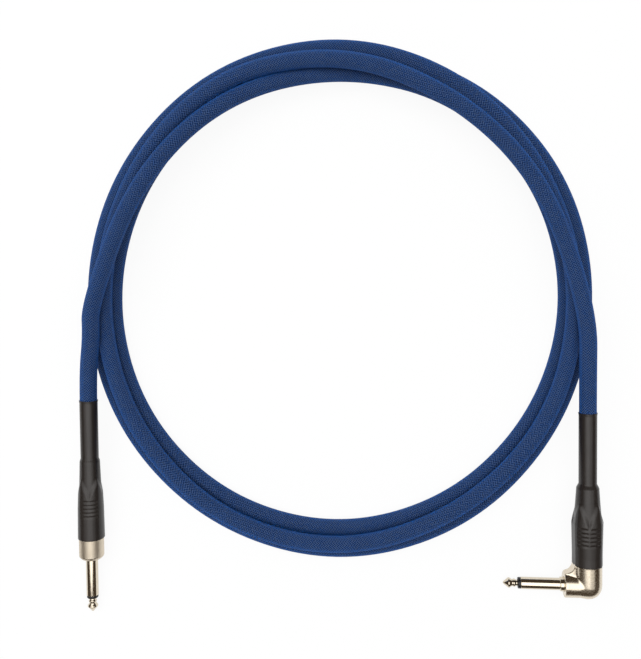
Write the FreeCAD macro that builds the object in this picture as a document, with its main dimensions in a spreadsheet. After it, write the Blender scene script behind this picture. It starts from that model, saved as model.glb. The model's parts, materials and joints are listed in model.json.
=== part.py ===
import FreeCAD, Part
import math
import os
import Sketcher

Vec = FreeCAD.Vector
Turn = FreeCAD.Rotation
Place = FreeCAD.Placement

# Every driving dimension, in millimetres or degrees. The floor is z = 0.
SIZES = {
    # cable, from the woven jacket inwards
    "cable_od": 8.9,
    "squeezed_od": 8.4,
    "jacket_od": 6.8,
    "shield_od": 3.4,
    "core_od": 2.6,
    "wire_od": 0.9,
    "pigtail_od": 1.0,
    "pigtail_root": 0.25,
    "pigtail_bend": 0.8,
    # what both plugs share
    "slip": 0.1,
    "overrun": 9.0,
    "shrink_wall": 0.45,
    "boot_over": 0.1,
    "mouth_flare": 0.2,
    "mouth_len": 1.5,
    "shaft_od": 6.35,
    "reach": 30.0,
    "shank_od": 7.0,
    "tip_len": 7.8,
    "ring_len": 1.6,
    "ring_od": 6.0,
    "point_od": 0.9,
    "ball_od": 5.5,
    "ball_at": 3.1,
    "ball_flat": 0.5,
    "groove_od": 3.5,
    "groove_at": 4.9,
    "bead_od": 4.5,
    "bead_at": 6.0,
    "neck_od": 3.3,
    "neck_at": 6.9,
    "rod_od": 2.3,
    "liner_od": 4.3,
    "flange_od": 9.2,
    "flange_len": 1.2,
    "tail_od": 7.2,
    "tail_len": 4.0,
    "lug_thick": 0.5,
    "liner_head_od": 5.8,
    "liner_head_len": 1.0,
    "tip_lug_od": 5.0,
    "rivet_od": 3.8,
    "rivet_len": 0.6,
    "tongue_width": 2.0,
    "tongue_gap": 0.6,
    "strip_width": 3.0,
    "strip_out": 3.1,
    "chuck_slot": 1.0,
    "chuck_slot_back": 4.0,
    "thread_len": 7.0,
    "rib_width": 0.9,
    # straight plug, along its axis from the shell's front face towards the cable
    "shell_od": 13.0,
    "shell_len": 12.5,
    "shell_nose_od": 8.6,
    "shell_nose_len": 2.1,
    "shell_edge": 0.4,
    "shell_wall": 1.5,
    "shell_side": 1.3,
    "flange_room": 0.6,
    "straight_thread_in": 0.95,
    "straight_boot_len": 42.0,
    "straight_lip": 86.2,
    "straight_waist_od": 12.7,
    "straight_waist_at": 15.6,
    "straight_apex_od": 12.1,
    "straight_apex_at": 22.6,
    "straight_vee_od": 11.3,
    "straight_vee_at": 31.8,
    "straight_core_apex_od": 10.9,
    "straight_core_vee_od": 10.1,
    "straight_collar_od": 9.5,
    "straight_collar_len": 1.0,
    "straight_rear_od": 9.0,
    "straight_rib_depth": 0.8,
    "straight_rib_at": 21.2,
    "straight_rib_pitch": 2.1,
    "straight_rib_length": 7.0,
    "straight_chuck_od": 10.0,
    "straight_chuck_end_od": 8.4,
    "straight_chuck_len": 13.5,
    "straight_chuck_land": 2.5,
    "straight_jacket_to": 17.5,
    "straight_shield_to": 15.4,
    "straight_core_to": 13.9,
    "straight_wire_to": 10.4,
    "straight_tongue_len": 3.6,
    "straight_strip_len": 6.5,
    "straight_solder_at": 12.0,
    # angle plug, along the cable's axis from the shaft's axis, and along the shaft from its collar
    "elbow_od": 15.0,
    "elbow_end": 7.3,
    "elbow_round": 6.0,
    "elbow_top": 12.4,
    "elbow_side": 2.5,
    "elbow_floor": 4.5,
    "nose_od": 13.8,
    "nose_face": 12.3,
    "nose_bore": 8.0,
    "bend_gap": 5.0,
    "collar_od": 7.6,
    "collar_len": 2.0,
    "nut_od": 11.8,
    "nut_len": 1.5,
    "angle_thread_in": 1.4,
    "angle_boot_len": 42.6,
    "angle_lip": 93.6,
    "angle_waist_od": 15.1,
    "angle_waist_at": 4.0,
    "angle_apex_od": 15.7,
    "angle_apex_at": 21.8,
    "angle_vee_od": 12.7,
    "angle_vee_at": 32.2,
    "angle_core_apex_od": 13.7,
    "angle_core_vee_od": 11.9,
    "angle_collar_od": 10.7,
    "angle_collar_len": 3.0,
    "angle_rear_od": 9.0,
    "angle_rib_depth": 1.1,
    "angle_rib_at": 20.3,
    "angle_rib_pitch": 2.2,
    "angle_rib_length": 10.0,
    "angle_chuck_od": 11.0,
    "angle_chuck_end_od": 8.8,
    "angle_chuck_len": 15.0,
    "angle_chuck_land": 2.5,
    "angle_jacket_to": 8.0,
    "angle_shield_to": 5.0,
    "angle_core_to": 2.4,
    "angle_wire_to": -0.45,
    "angle_tongue_len": 5.0,
    "angle_strip_len": 7.0,
    "angle_solder_at": -0.2,
    "solder_od": 1.9,
    "solder_off": 0.4,
    "rib_share": 0.3,
    "rib_break": 1.3,
    "notch_lap": 1.1,
    "notch_spread": 0.75,
    "shrink_back": 0.3,
    # how the plugs lie on the floor, in degrees
    "straight_yaw": -0.65,
    "straight_phase": -8.0,
    "angle_yaw": 1.8,
    "angle_pitch": 5.5,
    "angle_roll": -8.2,
    "angle_phase": 12.0,
}

# Counts, and how much of the shorter run an arc takes in a cord's route.
RIBS = 5
RIB_SIDES = 2
BROKEN_RIBS = ("angle",)
NOTCHES = 4
CHUCK_SLOTS = 4
ARC_SHARE = 0.45
GAP_STEP = 1.0
LEAST_GAP = 0.4
TINY = 1e-6
TUBE_ERROR = 0.002

# Where the plugs' own origins stand over the floor, and the routes of the cable's tails.
STRAIGHT_AT = Vec(-133.45, -28.2, 0)
ANGLE_AT = Vec(132.7, -42.0, 0)
STRAIGHT_TAIL = (Vec(-132.2, 88.5, 19.2), Vec(-131.2, 105.4, 21.3))
STRAIGHT_RUNS = (15.0, 14.0)
ANGLE_RUNS = (5.0, 5.0)
# The pieces that a plug can lie on.
OUTSIDE = ("shell", "elbow_housing", "heat_shrink", "tip_contact")

doc = FreeCAD.newDocument("instrument_cable")
sheet = doc.addObject("Spreadsheet::Sheet", "Sizes")
for row, (word, number) in enumerate(SIZES.items(), start=1):
    sheet.set("A%d" % row, word)
    sheet.set("B%d" % row, str(number))
    sheet.setAlias("B%d" % row, word)
doc.recompute()


class Size:
    """A number together with the expression that works it out from the sheet."""

    def __init__(self, number, text):
        self.number = number
        self.text = text

    def __add__(self, other):
        other = as_size(other)
        return Size(self.number + other.number, "(%s + %s)" % (self.text, other.text))

    def __sub__(self, other):
        other = as_size(other)
        return Size(self.number - other.number, "(%s - %s)" % (self.text, other.text))

    def __rsub__(self, other):
        return as_size(other) - self

    def __mul__(self, other):
        other = as_size(other)
        return Size(self.number * other.number, "(%s * %s)" % (self.text, other.text))

    def __truediv__(self, other):
        other = as_size(other)
        return Size(self.number / other.number, "(%s / %s)" % (self.text, other.text))

    def __neg__(self):
        return Size(-self.number, "(0 - %s)" % self.text)

    __radd__ = __add__
    __rmul__ = __mul__


def as_size(what):
    """A Size from a Size or a plain number."""
    if isinstance(what, Size):
        return what
    return Size(float(what), "%g" % what)


def of(word):
    """The sheet's value of that name."""
    return Size(float(sheet.get(word)), "Sizes." + word)


def half(word):
    """Half of a diameter in the sheet: the radius."""
    return of(word) / 2


def bind(thing, path, amount):
    """Ties one property of an object to the sheet."""
    thing.setExpression(path, as_size(amount).text)


def new_body(label):
    body = doc.addObject("PartDesign::Body", label)
    body.Label = label
    return body


def origin_part(body, role):
    """One of a body's own origin planes or axes."""
    return next(part for part in body.Origin.OriginFeatures if part.Role == role)


def outline(body, name, role, corners, raised=None):
    """A closed sketch through the corners, each tied to the sheet, on one of the body's planes."""
    sketch = body.newObject("Sketcher::SketchObject", name)
    sketch.AttachmentSupport = [(origin_part(body, role), "")]
    sketch.MapMode = "FlatFace"
    if raised is not None:
        bind(sketch, "AttachmentOffset.Base.z", raised)
    corners = [(as_size(across), as_size(along)) for across, along in corners]
    count = len(corners)
    for i in range(count):
        here = corners[i]
        there = corners[(i + 1) % count]
        ends = [Vec(across.number, along.number, 0) for across, along in (here, there)]
        sketch.addGeometry(Part.LineSegment(*ends), False)
    for i in range(count):
        sketch.addConstraint(Sketcher.Constraint("Coincident", i, 2, (i + 1) % count, 1))
    for i, (across, along) in enumerate(corners):
        for kind, amount in (("DistanceX", across), ("DistanceY", along)):
            at = sketch.addConstraint(Sketcher.Constraint(kind, -1, 1, i, 1, amount.number))
            bind(sketch, "Constraints[%d]" % at, amount)
    return sketch


def circle_outline(body, name, role, circles, raised=None):
    """A sketch of circles, each given by its centre and radius, tied to the sheet."""
    sketch = body.newObject("Sketcher::SketchObject", name)
    sketch.AttachmentSupport = [(origin_part(body, role), "")]
    sketch.MapMode = "FlatFace"
    if raised is not None:
        bind(sketch, "AttachmentOffset.Base.z", raised)
    for i, (across, along, radius) in enumerate(circles):
        across, along, radius = as_size(across), as_size(along), as_size(radius)
        middle = Vec(across.number, along.number, 0)
        sketch.addGeometry(Part.Circle(middle, Vec(0, 0, 1), radius.number), False)
        for kind, amount in (("DistanceX", across), ("DistanceY", along)):
            at = sketch.addConstraint(Sketcher.Constraint(kind, -1, 1, i, 3, amount.number))
            bind(sketch, "Constraints[%d]" % at, amount)
        at = sketch.addConstraint(Sketcher.Constraint("Radius", i, radius.number))
        bind(sketch, "Constraints[%d]" % at, radius)
    return sketch


def spun(body, name, corners, cut=False, about="V_Axis"):
    """Revolves a profile in the XZ plane, about Z unless told otherwise, adding to the body or cutting it."""
    sketch = outline(body, name + "_profile", "XZ_Plane", corners)
    kind = "PartDesign::Groove" if cut else "PartDesign::Revolution"
    feature = body.newObject(kind, name)
    feature.Profile = sketch
    feature.ReferenceAxis = (sketch, [about])
    feature.Angle = 360
    return feature


def pushed(body, name, sketch, depth, cut=False, midplane=False, reverse=False):
    """Pads or pockets a sketch by a length from the sheet."""
    feature = body.newObject("PartDesign::Pocket" if cut else "PartDesign::Pad", name)
    feature.Profile = sketch
    feature.Type = "Length"
    feature.Midplane = midplane
    feature.Reversed = reverse
    bind(feature, "Length", depth)
    return feature


def round_copies(body, name, originals, count):
    """Repeats features evenly about the body's own Z axis."""
    pattern = body.newObject("PartDesign::PolarPattern", name)
    pattern.Originals = originals
    pattern.Axis = (origin_part(body, "Z_Axis"), [""])
    pattern.Angle = 360
    pattern.Occurrences = count
    body.Tip = pattern
    return pattern


def ring_body(label, corners):
    """A piece that is one turned profile."""
    body = new_body(label)
    spun(body, label + "_turned", corners)
    return body


def tube_body(label, inner, outer, start, end):
    """A plain tube along Z."""
    return ring_body(label, [(inner, start), (outer, start), (outer, end), (inner, end)])


HOUSINGS = {"straight": "shell", "angle": "elbow"}


def thread_radius(kind):
    """Of the thread that the boot screws on to, inside the housing's outside."""
    return half(HOUSINGS[kind] + "_od") - of(kind + "_thread_in")


def front_radius(kind):
    """Of the boot's front edge, just over the housing that it meets."""
    return half(HOUSINGS[kind] + "_od") + of("boot_over")


def bore_radius(kind):
    """Of the room inside the housing."""
    return half(HOUSINGS[kind] + "_od") - of(HOUSINGS[kind] + "_side")


# The contact stack of either plug. Its axis is Z, the tip points to -Z, and z = 0 is the face
# that the shaft's reach is counted from.

def tip_contact(label, seat):
    """Pointed contact, turned in one piece with the rod that runs back through the shaft."""
    end = -of("reach")
    rod = half("rod_od")
    lug_back = seat + of("flange_len") + of("tail_len") + of("lug_thick") * 2 + of("liner_head_len")
    corners = [
        (0, end),
        (half("point_od"), end),
        (half("ball_od"), end + of("ball_at") - of("ball_flat") / 2),
        (half("ball_od"), end + of("ball_at") + of("ball_flat") / 2),
        (half("groove_od"), end + of("groove_at")),
        (half("bead_od"), end + of("bead_at")),
        (half("neck_od"), end + of("neck_at")),
        (half("neck_od"), end + of("tip_len")),
        (rod, end + of("tip_len")),
        (rod, lug_back),
        (half("rivet_od"), lug_back),
        (half("rivet_od"), lug_back + of("rivet_len")),
        (0, lug_back + of("rivet_len")),
    ]
    return ring_body(label, corners)


def tip_insulator(label):
    """Black ring between the tip and the sleeve, with a small rounded edge."""
    front = of("tip_len") - of("reach")
    back = front + of("ring_len")
    edge = of("ring_len") / 5
    corners = [
        (half("rod_od"), front),
        (half("ring_od") - edge, front),
        (half("ring_od"), front + edge),
        (half("ring_od"), back),
        (half("rod_od"), back),
    ]
    return ring_body(label, corners)


def sleeve(label, kind, seat):
    """Shaft that is the ground contact, stouter from its face on, with the flange that holds it."""
    bore = half("liner_od") + of("slip") / 2
    front = of("tip_len") + of("ring_len") - of("reach")
    if kind == "straight":
        stout = half("shank_od")
        rim = bore_radius(kind) - of("flange_room")
    else:
        stout = half("collar_od")
        rim = half("flange_od")
    back = seat + of("flange_len")
    corners = [
        (bore, front),
        (half("shaft_od"), front),
        (half("shaft_od"), 0),
        (stout, 0),
        (stout, seat),
        (rim, seat),
        (rim, back),
        (half("tail_od"), back),
        (half("tail_od"), back + of("tail_len")),
        (bore, back + of("tail_len")),
    ]
    return ring_body(label, corners)


def rod_liner(label, seat):
    """Insulating tube round the rod, with the head that keeps the two lugs apart."""
    front = of("tip_len") + of("ring_len") - of("reach")
    head = seat + of("flange_len") + of("tail_len") + of("lug_thick")
    corners = [
        (half("rod_od"), front),
        (half("liner_od"), front),
        (half("liner_od"), head),
        (half("liner_head_od"), head),
        (half("liner_head_od"), head + of("liner_head_len")),
        (half("rod_od"), head + of("liner_head_len")),
    ]
    return ring_body(label, corners)


def ground_lug(label, seat, length):
    """Washer on the sleeve's tail with a strip that runs back along the housing's wall."""
    body = new_body(label)
    face = seat + of("flange_len") + of("tail_len")
    bore = half("liner_od")
    spun(body, label + "_washer", [(bore, face), (half("tail_od"), face),
                                   (half("tail_od"), face + of("lug_thick")), (bore, face + of("lug_thick"))])
    inside = of("strip_out")
    outside = inside + of("lug_thick")
    side = half("strip_width")
    strip = outline(body, label + "_strip", "XY_Plane",
                    [(-side, inside), (side, inside), (side, outside), (-side, outside)], face)
    pushed(body, label + "_strip_pad", strip, length)
    return body


def tip_lug(label, seat, length):
    """Washer riveted on the rod's end with the stepped tongue that the core is soldered to."""
    body = new_body(label)
    face = seat + of("flange_len") + of("tail_len") + of("lug_thick") + of("liner_head_len")
    plate = of("lug_thick")
    rod = half("rod_od")
    rim = half("tip_lug_od")
    spun(body, label + "_washer", [(rod, face), (rim, face), (rim, face + plate), (rod, face + plate)])
    near = half("wire_od") + of("slip")
    step = face + plate + of("rivet_len") + of("tongue_gap")
    corners = [
        (-rim, face),
        (plate - rim, face),
        (plate - rim, step),
        (-near, step),
        (-near, step + length),
        (-(near + plate), step + length),
        (-(near + plate), step + plate),
        (-rim, step + plate),
    ]
    pushed(body, label + "_tongue_pad", outline(body, label + "_tongue", "XZ_Plane", corners),
           of("tongue_width"), midplane=True)
    return body


# The boot and the sleeve shrunk over it. Z runs from the plug towards the cable.

def boot_form(label, kind, front, swell=None):
    """The boot's outside: a tapered core with four pointed tongues on it and rows of finger ribs.

    Without swell it is the bare boot. With swell it is the form of the sleeve shrunk over it,
    which is that much larger all round, softer in its notches and ribs, and runs on to the lip.
    """
    start = of("shell_len") if kind == "straight" else of("elbow_top")
    grow = as_size(0) if swell is None else swell
    lap = as_size(0) if swell is None else of("notch_lap")
    share = as_size(1) if swell is None else of("rib_share")

    def radius(word):
        return half(kind + "_" + word) + grow

    def along(word):
        return start + of(kind + "_" + word)

    body = new_body(label)
    inside = half("jacket_od")
    end = along("vee_at") + grow
    spun(body, label + "_tongues", [
        (inside, front),
        (front_radius(kind) + grow, front),
        (radius("waist_od"), along("waist_at")),
        (radius("apex_od"), along("apex_at")),
        (radius("vee_od"), end),
        (inside, end),
    ])
    wide = half(kind + "_vee_od") * of("notch_spread")
    apex = along("apex_at") + lap
    open_at = along("vee_at") + lap
    beyond = open_at + of("overrun")
    notch = outline(body, label + "_notch", "XZ_Plane",
                    [(0, apex), (wide, open_at), (wide, beyond), (-wide, beyond), (-wide, open_at)])
    cut = pushed(body, label + "_notch_cut", notch, front_radius(kind) * 2, cut=True, reverse=True)
    round_copies(body, label + "_notches", [cut], NOTCHES)
    rear = along("boot_len")
    corners = [
        (0, front),
        (radius("core_apex_od"), front),
        (radius("core_apex_od"), along("apex_at")),
        (radius("core_vee_od"), along("vee_at")),
        (radius("collar_od"), rear - of(kind + "_collar_len")),
        (radius("rear_od"), rear),
    ]
    if swell is None:
        corners += [(0, rear)]
    else:
        lip = of(kind + "_lip")
        cable = half("squeezed_od") + grow
        corners += [
            (cable, rear + grow),
            (cable, lip - of("mouth_len")),
            (cable + of("mouth_flare"), lip),
            (0, lip),
        ]
    spun(body, label + "_core", corners)
    side = of(kind + "_rib_length") / 2
    floor = radius("apex_od") - of(kind + "_rib_depth") * share
    spans = [(-side, side)]
    if kind in BROKEN_RIBS:
        gap = of("rib_break") / 2
        spans = [(-side, -gap), (gap, side)]
    ribs = []
    for i in range(RIBS):
        high = along("rib_at") - of(kind + "_rib_pitch") * i
        low = high - of("rib_width")
        for left, right in spans:
            name = "%s_rib_%d" % (label, len(ribs) + 1)
            slot = outline(body, name, "XZ_Plane",
                           [(left, low), (right, low), (right, high), (left, high)], floor)
            ribs.append(pushed(body, name + "_cut", slot, front_radius(kind), cut=True, reverse=True))
    round_copies(body, label + "_ribs", ribs, RIB_SIDES)
    return body


def boot(label, kind, start):
    """Moulded boot: screws over the housing's thread and squeezes the chuck on to the jacket."""
    body = boot_form(label, kind, start)
    slip = of("slip")
    seat = start + of("thread_len") + slip
    taper_end = seat + of(kind + "_chuck_len")
    throat = half("jacket_od") + slip
    over = of("overrun")
    spun(body, label + "_bore", [
        (0, start - over),
        (thread_radius(kind) + slip, start - over),
        (thread_radius(kind) + slip, seat),
        (half(kind + "_chuck_od") + slip, seat),
        (half(kind + "_chuck_od") + slip, seat + of(kind + "_chuck_land")),
        (half(kind + "_chuck_end_od") + slip, taper_end),
        (throat, taper_end + slip),
        (throat, start + of(kind + "_boot_len") + over),
        (0, start + of(kind + "_boot_len") + over),
    ], cut=True)
    return body


def chuck(label, kind, start):
    """Split collet that grips the inner jacket."""
    body = new_body(label)
    front = start + of("thread_len") + of("slip")
    back = front + of(kind + "_chuck_len")
    bore = half("jacket_od")
    spun(body, label + "_cone", [
        (bore, front),
        (half(kind + "_chuck_od"), front),
        (half(kind + "_chuck_od"), front + of(kind + "_chuck_land")),
        (half(kind + "_chuck_end_od"), back),
        (bore, back),
    ])
    side = half("chuck_slot")
    over = back + of("overrun")
    slot = outline(body, label + "_slot", "XZ_Plane", [
        (-side, front + of("chuck_slot_back")),
        (side, front + of("chuck_slot_back")),
        (side, over),
        (-side, over),
    ])
    cut = pushed(body, label + "_slot_cut", slot, of(kind + "_chuck_od"), cut=True, reverse=True)
    round_copies(body, label + "_slots", [cut], CHUCK_SLOTS)
    return body


def heat_shrink(label, kind, start):
    """Sleeve shrunk over the whole boot and on along the cable, so it takes the boot's form."""
    skin = boot_form(label + "_outside", kind, start + of("shrink_back"), of("shrink_wall"))
    filling = boot_form(label + "_inside", kind, start)
    rear = start + of(kind + "_boot_len")
    spun(filling, label + "_cable", [
        (0, rear - of("overrun")),
        (half("squeezed_od"), rear - of("overrun")),
        (half("squeezed_od"), of(kind + "_lip") + of("overrun")),
        (0, of(kind + "_lip") + of("overrun")),
    ])
    shrunk = doc.addObject("Part::Cut", label)
    shrunk.Label = label
    shrunk.Base = skin
    shrunk.Tool = filling
    return shrunk


# The two housings.

def straight_shell(label):
    """Turned nickel shell: chamfered nose, front wall with the shaft's hole, thread at the back."""
    thread_end = of("shell_len") + of("thread_len")
    hole = half("shank_od") + of("slip")
    edge = of("shell_edge")
    corners = [
        (hole, 0),
        (half("shell_nose_od") - edge, 0),
        (half("shell_nose_od"), edge),
        (half("shell_od") - edge, of("shell_nose_len")),
        (half("shell_od"), of("shell_nose_len") + edge),
        (half("shell_od"), of("shell_len")),
        (thread_radius("straight"), of("shell_len")),
        (thread_radius("straight"), thread_end),
        (bore_radius("straight"), thread_end),
        (bore_radius("straight"), of("shell_wall")),
        (hole, of("shell_wall")),
    ]
    return ring_body(label, corners)


def elbow_housing(label):
    """Cast elbow: an upright barrel and the nose that carries the shaft, joined by a swept bend."""
    body = new_body(label)
    barrel = half("elbow_od")
    nose = half("nose_od")
    round_off = of("elbow_round")
    end = -of("elbow_end")
    top = of("elbow_top")
    thread_end = top + of("thread_len")
    spun(body, label + "_barrel", [(0, end), (barrel, end), (barrel, top), (0, top)])
    barrel_feature = body.Tip
    doc.recompute()
    rim = [
        "Edge%d" % (i + 1) for i, edge in enumerate(barrel_feature.Shape.Edges)
        if edge.Curve.TypeId == "Part::GeomCircle" and edge.CenterOfMass.z < end.number + TINY
    ]
    rounding = body.newObject("PartDesign::Fillet", label + "_corner")
    rounding.Base = (barrel_feature, rim)
    bind(rounding, "Radius", round_off)
    spun(body, label + "_thread", [
        (0, top - of("slip")), (thread_radius("angle"), top - of("slip")),
        (thread_radius("angle"), thread_end), (0, thread_end),
    ])
    face = -of("nose_face")
    nose_sketch = circle_outline(body, label + "_nose_circle", "YZ_Plane", [(0, 0, nose)], face)
    pushed(body, label + "_nose", nose_sketch, of("nose_face"))
    bend = nose + of("bend_gap")
    ring = circle_outline(body, label + "_bend_circle", "YZ_Plane", [(0, 0, nose)], -bend)
    hinge = [Vec(side * nose.number, bend.number, 0) for side in (-1, 1)]
    line = ring.addGeometry(Part.LineSegment(*hinge), True)
    ring.addConstraint(Sketcher.Constraint("Horizontal", line))
    at = ring.addConstraint(Sketcher.Constraint("DistanceY", -1, 1, line, 1, bend.number))
    bind(ring, "Constraints[%d]" % at, bend)
    swept = body.newObject("PartDesign::Revolution", label + "_bend")
    swept.Profile = ring
    swept.ReferenceAxis = (ring, ["Axis0"])
    swept.Angle = 90
    doc.recompute()
    if swept.Shape.BoundBox.XMin < face.number - TINY:
        swept.Reversed = True
    spun(body, label + "_well", [
        (0, -of("elbow_floor")),
        (bore_radius("angle"), -of("elbow_floor")),
        (bore_radius("angle"), thread_end + of("slip")),
        (0, thread_end + of("slip")),
    ], cut=True)
    nut_seat = face + of("nut_len")
    flange_seat = nut_seat + of("flange_len")
    hole = [
        (face - of("slip"), 0),
        (face - of("slip"), half("nut_od")),
        (nut_seat, half("nut_od")),
        (nut_seat, half("flange_od") + of("slip")),
        (flange_seat, half("flange_od") + of("slip")),
        (flange_seat, half("nose_bore")),
        (0, half("nose_bore")),
        (0, 0),
    ]
    spun(body, label + "_bores", hole, cut=True, about="H_Axis")
    return body


def nose_nut(label):
    """Threaded ring that holds the shaft's flange in the elbow's nose."""
    face = of("collar_len")
    return ring_body(label, [
        (half("collar_od") + of("slip"), face),
        (half("nut_od"), face),
        (half("nut_od"), face + of("nut_len")),
        (half("collar_od") + of("slip"), face + of("nut_len")),
    ])


# Wires. Routes are lists of points, walked in straight runs with an arc at each point between.

def unit(vector):
    out = Vec(vector)
    out.normalize()
    return out


def arc_between(start, corner, end):
    """The arc from start to end whose tangents there meet at the corner, and its radius."""
    to_start = start - corner
    to_end = end - corner
    reach = to_start.Length
    middle = unit(unit(to_start) + unit(to_end))
    open_half = to_start.getAngle(to_end) / 2
    if math.pi / 2 - open_half < TINY:
        return Part.makeLine(start, end), math.inf
    centre = corner + middle * (reach / math.cos(open_half))
    radius = reach * math.tan(open_half)
    crown = centre - middle * radius
    return Part.Arc(start, crown, end).toShape(), radius


def rounded_route(points, radii):
    """Straight runs between the points, with the largest arc that the two runs beside each allow."""
    edges = []
    last = points[0]
    for before, corner, after in zip(points, points[1:], points[2:]):
        cut = ARC_SHARE * min((corner - before).Length, (after - corner).Length)
        start = corner + unit(before - corner) * cut
        end = corner + unit(after - corner) * cut
        arc, radius = arc_between(start, corner, end)
        edges += [Part.makeLine(last, start), arc]
        radii.append(radius)
        last = end
    edges.append(Part.makeLine(last, points[-1]))
    return edges


def tube_along(edges, outer):
    """A round tube swept along the edges."""
    path = Part.Wire(edges)
    first = edges[0]
    heading = first.tangentAt(first.FirstParameter)
    circle = Part.makeCircle(outer / 2, first.valueAt(first.FirstParameter), heading)
    tube = path.makePipeShell([Part.Wire([circle])], True, False)
    section = math.pi * outer * outer / 4
    share = tube.Volume / (section * path.Length)
    if abs(share - 1) > TUBE_ERROR:
        raise RuntimeError("a tube's volume is %.4f of its section times its length" % share)
    return tube


def piece(label, shape):
    """A piece whose shape is worked out in code."""
    thing = doc.addObject("Part::Feature", label)
    thing.Label = label
    thing.Shape = shape
    return thing


def pigtail_out():
    """How far out the shield's gathered tail lies, just inside the ground lug's strip."""
    return of("strip_out") - half("pigtail_od") - of("slip")


def shield(label, kind, side):
    """Copper wrap round the core, gathered into a tail that reaches the ground lug's strip."""
    inner = half("core_od").number
    outer = half("shield_od").number
    end = of(kind + "_shield_to").number
    lip = of(kind + "_lip").number
    wrap = Part.makeCylinder(outer, lip - end, Vec(0, 0, end))
    wrap = wrap.cut(Part.makeCylinder(inner, lip - end, Vec(0, 0, end)))
    thin = of("pigtail_od").number
    leave = inner + thin / 2 + of("slip").number / 2
    lie = pigtail_out().number
    last = of(kind + "_solder_at").number - thin / 2
    bend = of("pigtail_bend").number
    route = [
        Vec(0, side * leave, end + of("pigtail_root").number),
        Vec(0, side * leave, end - bend),
        Vec(0, side * lie, end - bend * 2),
        Vec(0, side * lie, last),
    ]
    return piece(label, wrap.fuse(tube_along(rounded_route(route, []), thin)).removeSplitter())


def solder(label, centre, size, tools):
    """A drop of solder, cut back to the faces that it wets. centre is in the plug's own frame."""
    ball = doc.addObject("Part::Sphere", label + "_drop")
    bind(ball, "Radius", size / 2)
    ball.Placement = centre
    made = ball
    for i, tool in enumerate(tools):
        last = i == len(tools) - 1
        cut = doc.addObject("Part::Cut", label if last else "%s_cut_%d" % (label, i + 1))
        cut.Base = made
        cut.Tool = tool
        made = cut
    made.Label = label
    return made


# Each plug as a set of pieces: {label: (object, where it stands in the plug's own frame)}.

def plug(kind):
    here = Place()
    if kind == "straight":
        seat = of("shell_wall")
        start = of("shell_len")
        stack = Place()
        side = 1
    else:
        seat = of("collar_len") + of("nut_len")
        start = of("elbow_top")
        inward = Turn(Vec(0, 0, 1), Vec(0, -1, 0), Vec(1, 0, 0), "XYZ")
        stack = Place(Vec(-(of("nose_face") + of("collar_len")).number, 0, 0), inward)
        side = -1
    turned = Place(Vec(0, 0, 0), Turn(Vec(0, 0, 1), of(kind + "_phase").number))
    lip = of(kind + "_lip")
    rear = start + of(kind + "_boot_len")
    pieces = {
        "tip_contact": (tip_contact(kind + "_tip_contact", seat), stack),
        "tip_insulator": (tip_insulator(kind + "_tip_insulator"), stack),
        "sleeve": (sleeve(kind + "_sleeve", kind, seat), stack),
        "rod_liner": (rod_liner(kind + "_rod_liner", seat), stack),
        "ground_lug": (ground_lug(kind + "_ground_lug", seat, of(kind + "_strip_len")), stack),
        "tip_lug": (tip_lug(kind + "_tip_lug", seat, of(kind + "_tongue_len")), stack),
        "chuck": (chuck(kind + "_chuck", kind, start), here),
        "boot": (boot(kind + "_boot", kind, start), turned),
        "heat_shrink": (heat_shrink(kind + "_heat_shrink", kind, start), turned),
        "braid_end": (tube_body(kind + "_braid_end", half("jacket_od"), half("squeezed_od"),
                                rear, lip), here),
        "inner_jacket": (tube_body(kind + "_inner_jacket", half("shield_od"), half("jacket_od"),
                                   of(kind + "_jacket_to"), lip), here),
        "shield": (shield(kind + "_shield", kind, side), here),
        "core_insulation": (tube_body(kind + "_core_insulation", half("wire_od"), half("core_od"),
                                      of(kind + "_core_to"), lip), here),
        "core_wire": (tube_body(kind + "_core_wire", 0, half("wire_od"),
                                of(kind + "_wire_to"), lip), here),
    }
    if kind == "straight":
        pieces["shell"] = (straight_shell("straight_shell"), here)
    else:
        pieces["elbow_housing"] = (elbow_housing("angle_elbow_housing"), here)
        pieces["nose_nut"] = (nose_nut("angle_nose_nut"), stack)
    return pieces


def stand(kind, pieces, spot, aim):
    """Puts a plug's pieces in the row's frame, standing on the floor, and gives that place."""
    outside = [pieces[name] for name in OUTSIDE if name in pieces]
    for thing, own in outside:
        thing.Placement = Place(spot, aim).multiply(own)
    doc.recompute()
    low = min(thing.Shape.optimalBoundingBox(False).ZMin for thing, own in outside)
    where = Place(spot - Vec(0, 0, low), aim)
    for thing, own in pieces.values():
        thing.Placement = where.multiply(own)
    offset = half("solder_off").number
    drop = half("solder_od").number
    lie = pigtail_out().number
    at = of(kind + "_solder_at").number
    side = 1 if kind == "straight" else -1
    tip_spot = Vec(offset, 0, at) if kind == "straight" else Vec(0, 0, at + offset)
    pieces["tip_solder"] = (solder(kind + "_tip_solder", where.multiply(Place(tip_spot, Turn())),
                                   of("solder_od"),
                                   [pieces["tip_lug"][0], pieces["core_wire"][0]]), None)
    ground_spot = Vec(0, side * lie, at)
    pieces["ground_solder"] = (solder(kind + "_ground_solder", where.multiply(Place(ground_spot, Turn())),
                                      of("solder_od"),
                                      [pieces["ground_lug"][0], pieces["shield"][0]]), None)
    return where


# The coil: three and a half turns that lie on and across each other, in quarter turns of two arcs.

COIL_CENTRE = Vec(0.7, 111.0, 0)
COIL_FROM = 165.0
QUARTER = 90.0
# One row a turn: how far out each quarter starts, and how far it drifts outwards per mm of cable.
COIL_OUT = (
    (123.5, 122.0, 121.0, 124.0),
    (121.5, 132.0, 131.0, 134.5),
    (133.5, 131.5, 123.5, 130.0),
    (126.0, 122.0, 133.0),
)
COIL_DRIFT = (
    (-0.13, 0.04, -0.01, 0.01),
    (0.01, 0.04, 0.0, -0.01),
    (0.03, -0.09, 0.04, 0.01),
    (0.04, -0.12, 0.29),
)
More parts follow.
